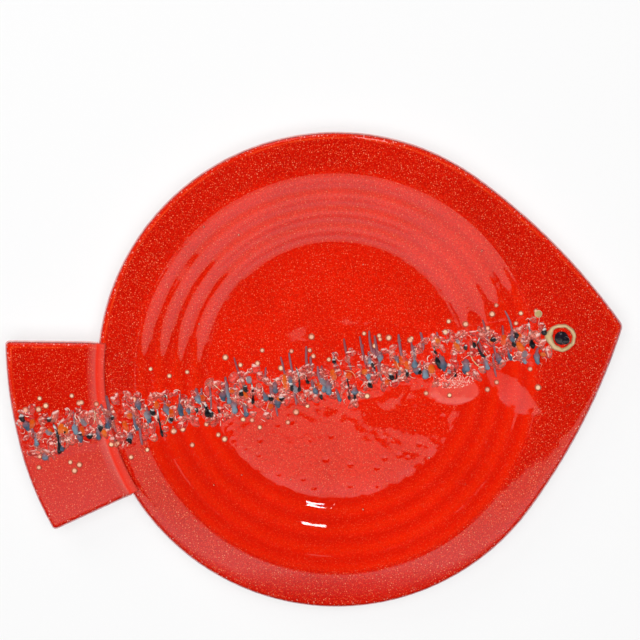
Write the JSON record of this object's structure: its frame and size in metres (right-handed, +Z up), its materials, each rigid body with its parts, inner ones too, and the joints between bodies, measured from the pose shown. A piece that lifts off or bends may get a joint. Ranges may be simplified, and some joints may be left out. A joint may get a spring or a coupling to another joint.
{
  "type": "fish-shaped glass serving plate",
  "caption": "Fish-shaped serving plate of fused red glass: round terraced dish with pointed nose, lapped tail, a spine of coloured glass drops and a ring eye.",
  "frame": {"origin": "centre of the flat foot under the well, on the plane the plate rests on", "axes": "+X along the fish from tail to nose, +Z up out of the well, +Y to the fish's back"},
  "size_m": [0.3983, 0.3096, 0.0255],
  "materials": {
    "clear_glass": "gloss",
    "red_glass": "gloss",
    "cream_glass": "gloss",
    "violet_glass": "gloss",
    "black_glass": "gloss",
    "blue_glass": "gloss",
    "nugget_glass": "gloss",
    "orange_glass": "gloss"
  },
  "bodies": {
    "root": {"base_sheet": "clear_glass", "cover_sheet": "red_glass", "dot_cream_01": "cream_glass", "dot_cream_02": "cream_glass", "dot_cream_03": "cream_glass", "dot_cream_04": "cream_glass", "dot_cream_05": "cream_glass", "dot_cream_06": "cream_glass", "dot_cream_07": "cream_glass", "dot_cream_08": "cream_glass", "dot_cream_09": "cream_glass", "dot_cream_10": "cream_glass", "dot_cream_11": "cream_glass", "dot_cream_12": "cream_glass", "dot_cream_13": "cream_glass", "dot_cream_14": "cream_glass", "dot_cream_15": "cream_glass", "dot_cream_16": "cream_glass", "eye_dot": "cream_glass", "eye_iris": "violet_glass", "eye_pupil": "black_glass", "eye_ring": "cream_glass", "nugget_clear_01": "nugget_glass", "nugget_clear_02": "nugget_glass", "nugget_clear_03": "nugget_glass", "nugget_clear_04": "nugget_glass", "nugget_clear_05": "nugget_glass", "nugget_clear_06": "nugget_glass", "nugget_clear_07": "nugget_glass", "nugget_clear_08": "nugget_glass", "nugget_orange_01": "orange_glass", "nugget_orange_02": "orange_glass", "nugget_orange_03": "orange_glass", "nugget_orange_04": "orange_glass", "nugget_orange_05": "orange_glass", "rib_black_01": "black_glass", "rib_black_02": "black_glass", "rib_black_03": "black_glass", "rib_black_04": "black_glass", "rib_black_05": "black_glass", "rib_black_06": "black_glass", "rib_black_07": "black_glass", "rib_black_08": "black_glass", "rib_black_09": "black_glass", "rib_black_10": "black_glass", "rib_blue_01": "blue_glass", "rib_blue_02": "blue_glass", "rib_blue_03": "blue_glass", "rib_blue_04": "blue_glass", "rib_blue_05": "blue_glass", "rib_blue_06": "blue_glass", "rib_blue_07": "blue_glass", "rib_blue_08": "blue_glass", "rib_blue_09": "blue_glass", "rib_blue_10": "blue_glass", "rib_blue_11": "blue_glass", "tail_base_sheet": "clear_glass", "tail_cover_sheet": "red_glass"}
  },
  "joints": []
}
